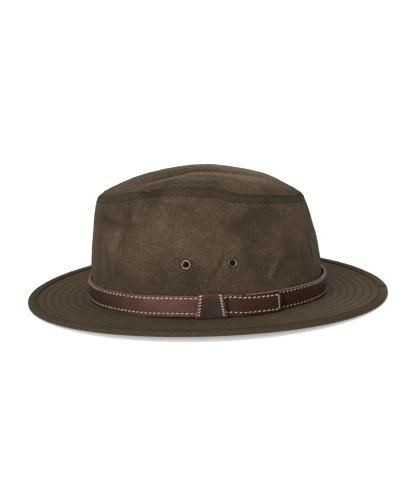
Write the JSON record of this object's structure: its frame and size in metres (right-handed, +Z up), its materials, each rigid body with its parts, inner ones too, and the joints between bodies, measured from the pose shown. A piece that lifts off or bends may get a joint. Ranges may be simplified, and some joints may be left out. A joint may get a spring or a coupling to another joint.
{
  "type": "bush hat",
  "caption": "Waxed cotton bush hat with an oval brim, a dented crown, a stitched leather band with a keeper loop, and brass air eyelets.",
  "frame": {"origin": "on the surface that the hat rests on, below the middle of the brim", "axes": "+Z up through the crown, +X towards the back of the hat, -Y towards the wearer's left"},
  "size_m": [0.3186, 0.274, 0.1158],
  "materials": {
    "waxed_cotton": "olive brown cotton proofed with wax, softly creased",
    "binding_cotton": "the same cotton folded into a stitched binding",
    "band_leather": "red brown leather with a low waxed shine",
    "keeper_leather": "dark brown leather with cream whip stitches",
    "antique_brass": "darkened brass with rubbed bright rims"
  },
  "bodies": {
    "root": {"crown_side": "waxed_cotton", "crown_tip": "waxed_cotton", "brim": "waxed_cotton", "brim_binding": "binding_cotton", "hat_band": "band_leather", "band_keeper": "keeper_leather", "eyelet_left_front": "antique_brass", "eyelet_left_back": "antique_brass", "eyelet_right_front": "antique_brass", "eyelet_right_back": "antique_brass"}
  },
  "joints": []
}
